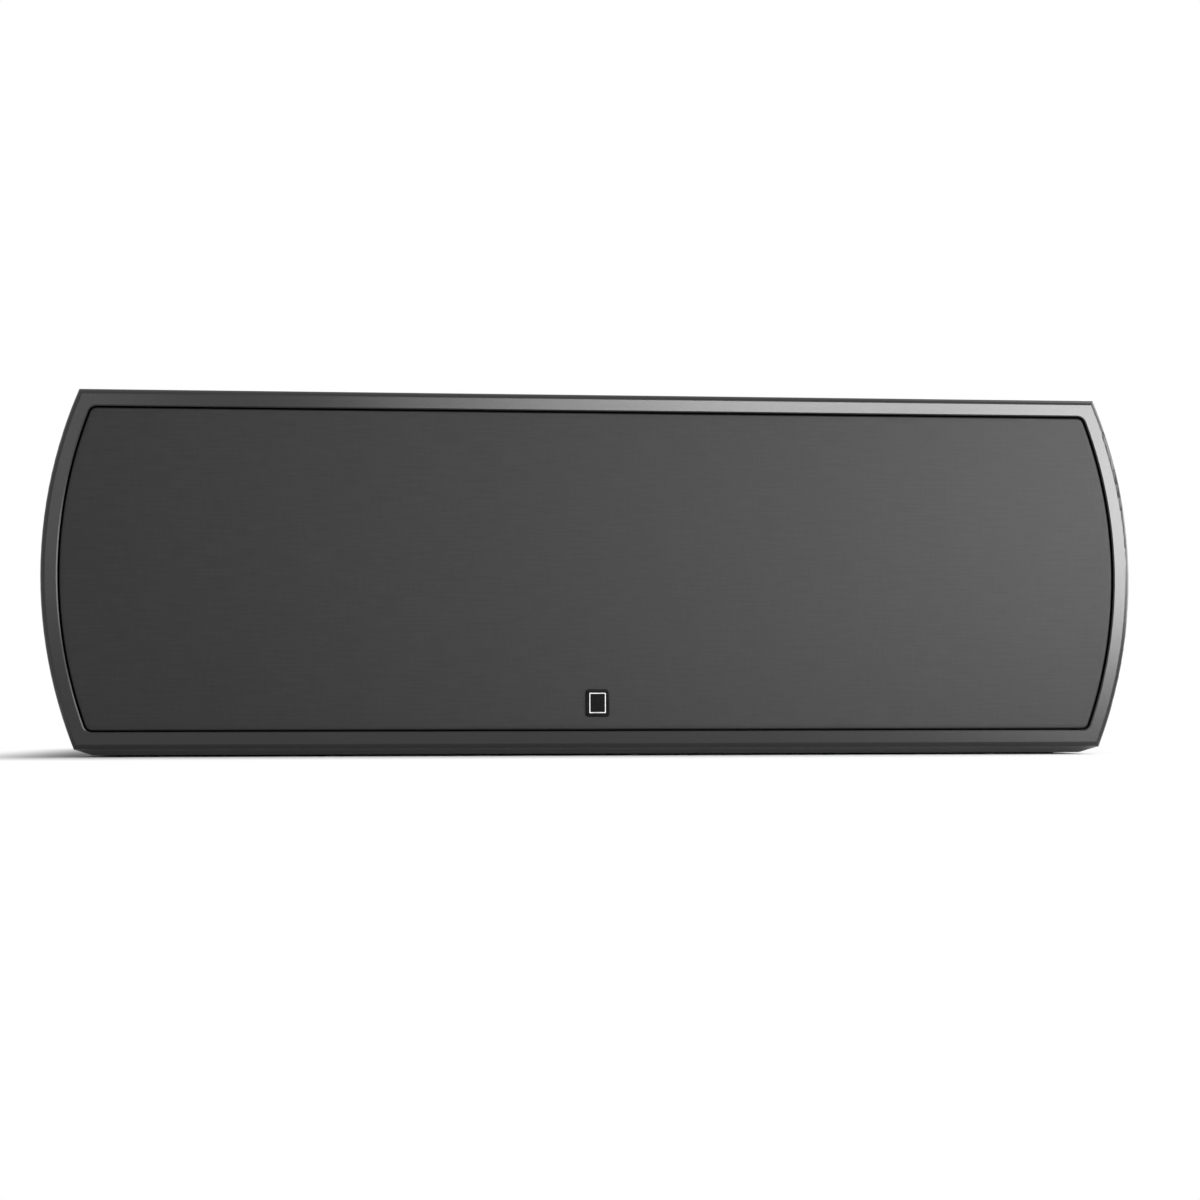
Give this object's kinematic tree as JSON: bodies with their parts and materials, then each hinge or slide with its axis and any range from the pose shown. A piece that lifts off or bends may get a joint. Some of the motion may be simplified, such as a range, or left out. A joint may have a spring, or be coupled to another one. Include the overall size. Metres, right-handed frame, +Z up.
{
  "type": "center channel speaker",
  "caption": "Low, wide center channel speaker: satin black cabinet with bowed ends, flush cloth grille, woofers beside a dome tweeter, rear ports and binding posts.",
  "frame": {"origin": "on the floor under the centre of the bounding box, between the rubber feet", "axes": "+X to the listener's right, +Y from the grille to the binding posts, +Z up"},
  "size_m": [0.61, 0.283, 0.2022],
  "materials": {
    "cabinet_paint": "satin",
    "baffle_paint": "matte",
    "bare_board": "matte",
    "grille_cloth": "matte",
    "badge_plate": "gloss",
    "black_rubber": "matte",
    "cast_basket": "satin",
    "cone_sheet": "satin",
    "spider_cloth": "matte",
    "copper_wire": "satin",
    "zinc_steel": "satin",
    "ferrite": "matte",
    "black_screw": "satin",
    "black_moulding": "satin",
    "silk_dome": "satin",
    "gilt_brass": "polished",
    "red_plastic": "gloss",
    "black_plastic": "gloss",
    "nylon": "satin",
    "circuit_board": "satin",
    "capacitor_film": "gloss",
    "resistor_ceramic": "matte",
    "lead_jacket": "satin",
    "wadding": "matte"
  },
  "bodies": {
    "cabinet": {"top_panel": "cabinet_paint", "bottom_panel": "cabinet_paint", "left_end": "cabinet_paint", "right_end": "cabinet_paint", "front_baffle": "baffle_paint", "rear_panel": "baffle_paint", "brace_left": "bare_board", "brace_right": "bare_board", "rubber_feet": "black_rubber", "grille_sockets": "black_rubber", "woofer_left_surround": "black_rubber", "woofer_right_surround": "black_rubber", "woofer_left_basket": "cast_basket", "woofer_right_basket": "cast_basket", "woofer_left_spider": "spider_cloth", "woofer_right_spider": "spider_cloth", "tweeter_voice_coil": "copper_wire", "woofer_inductor": "copper_wire", "tweeter_inductor": "copper_wire", "woofer_left_top_plate": "zinc_steel", "woofer_right_top_plate": "zinc_steel", "woofer_left_yoke": "zinc_steel", "woofer_right_yoke": "zinc_steel", "tweeter_top_plate": "zinc_steel", "tweeter_yoke": "zinc_steel", "woofer_left_magnet": "ferrite", "woofer_right_magnet": "ferrite", "tweeter_magnet": "ferrite", "woofer_left_screws": "black_screw", "woofer_right_screws": "black_screw", "tweeter_screws": "black_screw", "terminal_screws": "black_screw", "tweeter_faceplate": "black_moulding", "port_left": "black_moulding", "port_right": "black_moulding", "terminal_plate": "black_moulding", "tweeter_dome": "silk_dome", "post_red": "gilt_brass", "post_black": "gilt_brass", "post_nuts": "gilt_brass", "board_pillars": "nylon", "crossover_board": "circuit_board", "capacitors": "capacitor_film", "resistors": "resistor_ceramic", "woofer_lead_left": "lead_jacket", "woofer_lead_right": "lead_jacket", "tweeter_lead": "lead_jacket", "input_leads": "lead_jacket", "damping_pads": "wadding"},
    "grille": {"grille_cloth": "grille_cloth", "grille_frame": "baffle_paint", "grille_badge": "badge_plate"},
    "left_cone": {"woofer_left_cone": "cone_sheet", "woofer_left_dust_cap": "cone_sheet", "woofer_left_voice_coil": "copper_wire"},
    "right_cone": {"woofer_right_cone": "cone_sheet", "woofer_right_dust_cap": "cone_sheet", "woofer_right_voice_coil": "copper_wire"},
    "red_knob": {"knob_red": "red_plastic"},
    "black_knob": {"knob_black": "black_plastic"}
  },
  "joints": [
    {"name": "grille_pull", "type": "slide", "parent": "cabinet", "child": "grille", "axis": [0, -1, 0], "range_m": [0, 0.15]},
    {"name": "left_cone_travel", "type": "slide", "parent": "cabinet", "child": "left_cone", "axis": [0, -1, 0], "range_m": [-0.005, 0.005], "stiffness_N_per_m": 1200, "deforming": ["woofer_left_surround", "woofer_left_spider"]},
    {"name": "right_cone_travel", "type": "slide", "parent": "cabinet", "child": "right_cone", "axis": [0, -1, 0], "range_m": [-0.005, 0.005], "stiffness_N_per_m": 1200, "deforming": ["woofer_right_surround", "woofer_right_spider"]},
    {"name": "red_knob_turn", "type": "hinge", "parent": "cabinet", "child": "red_knob", "pos_m": [-0.00953, 0.1325, 0.1032], "axis": [0, 1, 0], "range_deg": [0, 1080]},
    {"name": "black_knob_turn", "type": "hinge", "parent": "cabinet", "child": "black_knob", "pos_m": [0.00953, 0.1325, 0.1032], "axis": [0, 1, 0], "range_deg": [0, 1080]}
  ]
}
